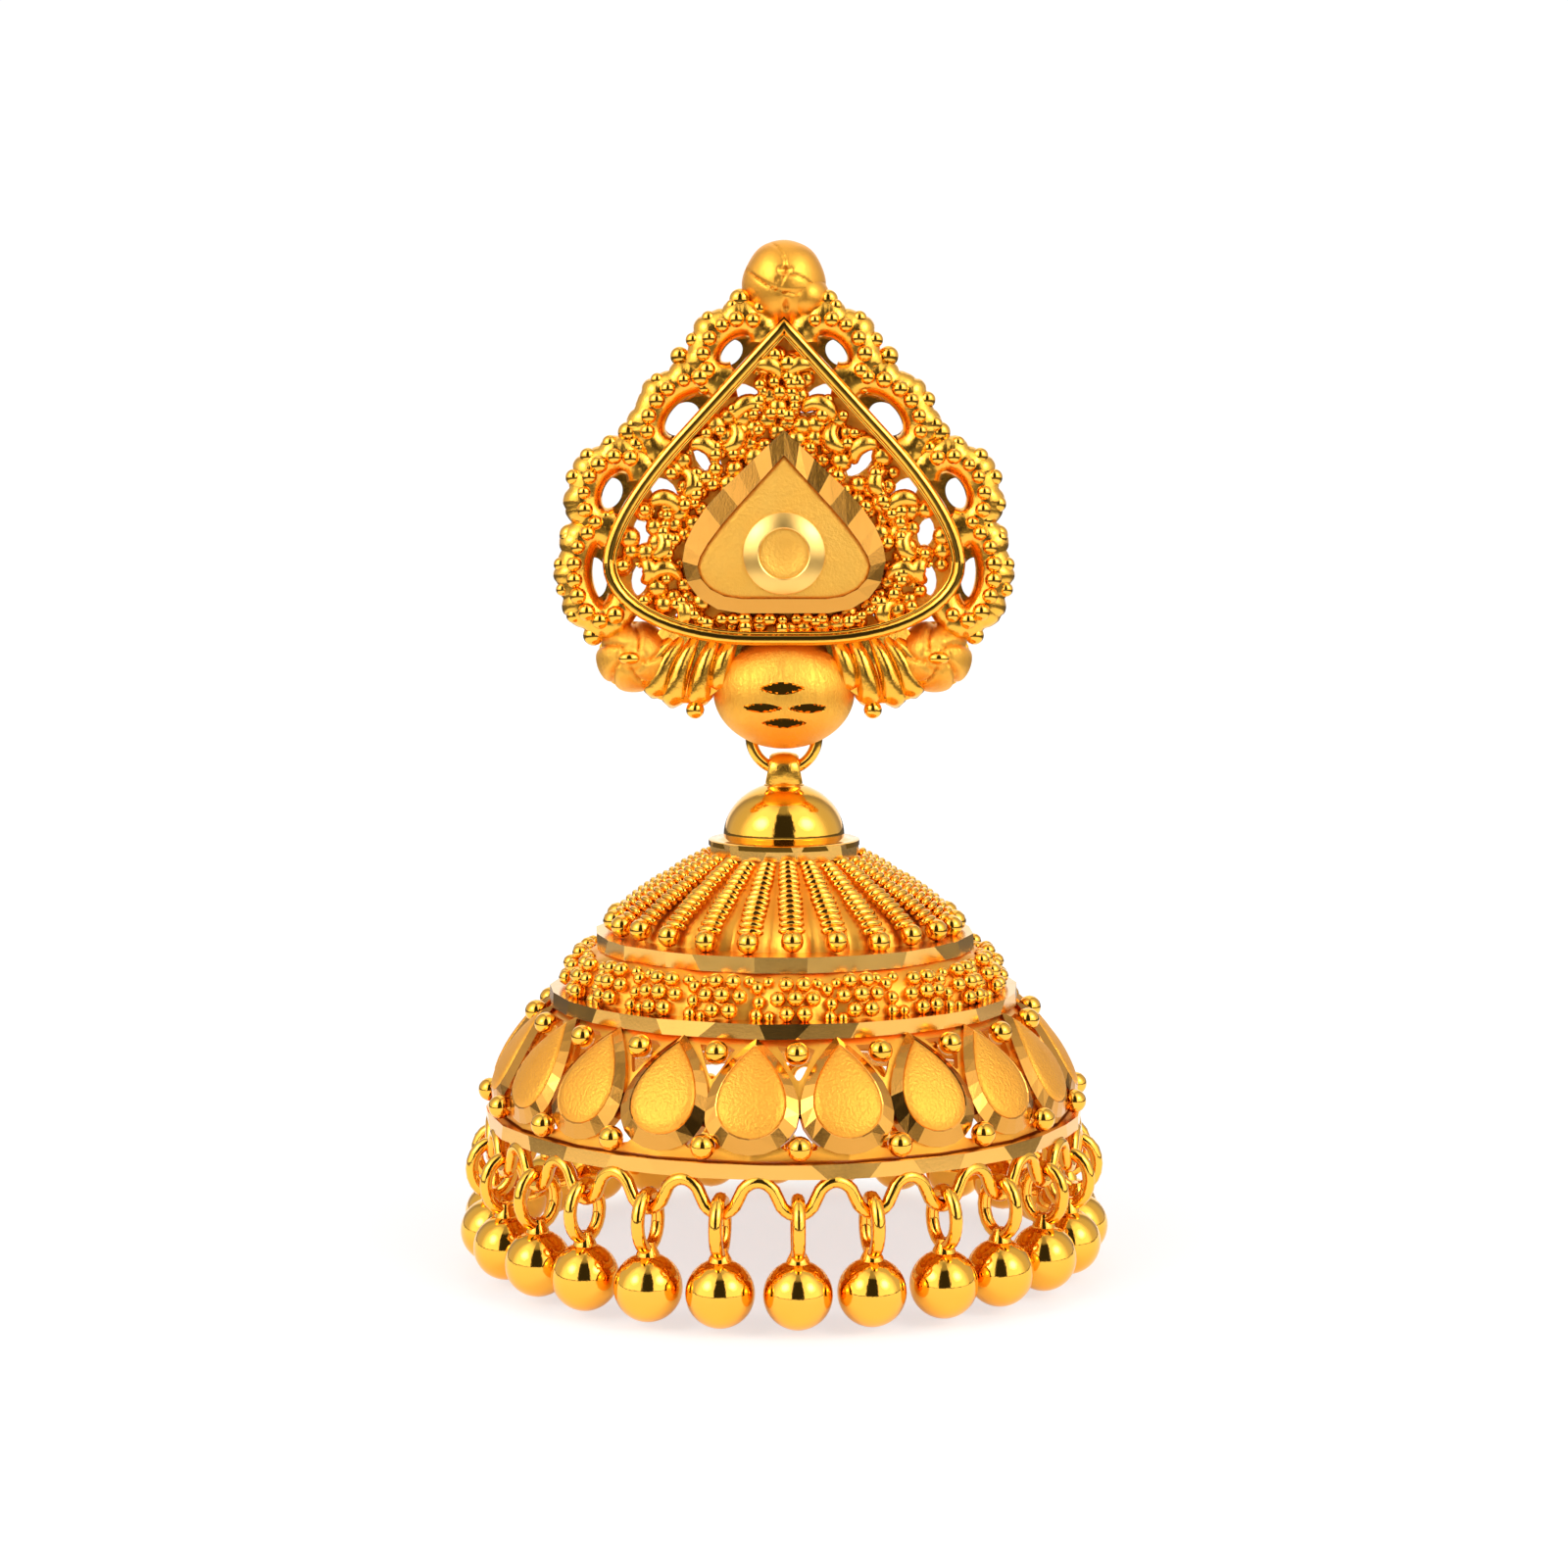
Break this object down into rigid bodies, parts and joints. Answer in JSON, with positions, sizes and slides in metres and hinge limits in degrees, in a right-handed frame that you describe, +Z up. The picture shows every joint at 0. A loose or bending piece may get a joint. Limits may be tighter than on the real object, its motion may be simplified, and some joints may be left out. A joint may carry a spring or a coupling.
{
  "type": "jhumka stud drop earring",
  "caption": "Gold jhumka earring: a pierced spade stud on an ear post, with a ribbed and pierced bell dome and ball drops swinging below it on a ring.",
  "frame": {"origin": "where the ear post leaves the back of the stud, on the back plane of the stud", "axes": "+Z up, the front of the stud faces -Y, +Y along the ear post, +X to the right of a viewer in front"},
  "size_m": [0.0304, 0.0305, 0.0471],
  "materials": {
    "stud_gold": "yellow gold, matte and bright-cut, with polished granules",
    "dome_gold": "yellow gold, polished bands and granules, matte panels",
    "ball_gold": "mirror-polished yellow gold",
    "polished_gold": "polished yellow gold wire",
    "plain_gold": "plain satin yellow gold"
  },
  "bodies": {
    "stud_body": {"stud": "stud_gold", "ear_post": "plain_gold", "screw_nut": "plain_gold"},
    "ring_body": {"link_ring": "polished_gold"},
    "drop_body": {"dome": "dome_gold", "ball_drop_01": "ball_gold", "ball_drop_02": "ball_gold", "ball_drop_03": "ball_gold", "ball_drop_04": "ball_gold", "ball_drop_05": "ball_gold", "ball_drop_06": "ball_gold", "ball_drop_07": "ball_gold", "ball_drop_08": "ball_gold", "ball_drop_09": "ball_gold", "ball_drop_10": "ball_gold", "ball_drop_11": "ball_gold", "ball_drop_12": "ball_gold", "ball_drop_13": "ball_gold", "ball_drop_14": "ball_gold", "ball_drop_15": "ball_gold", "ball_drop_16": "ball_gold", "ball_drop_17": "ball_gold", "ball_drop_18": "ball_gold", "ball_drop_19": "ball_gold", "ball_drop_20": "ball_gold", "ball_drop_21": "ball_gold", "ball_drop_22": "ball_gold", "ball_drop_23": "ball_gold", "ball_drop_24": "ball_gold", "ball_drop_25": "ball_gold", "ball_drop_26": "ball_gold"}
  },
  "joints": [
    {"name": "ring_rock", "type": "hinge", "parent": "stud_body", "child": "ring_body", "pos_m": [0, 0.00035, -0.00887], "axis": [0, 1, 0], "range_deg": [-25, 25]},
    {"name": "drop_swing", "type": "hinge", "parent": "ring_body", "child": "drop_body", "pos_m": [0, 0.00035, -0.01192], "axis": [1, 0, 0], "range_deg": [-40, 40]}
  ]
}
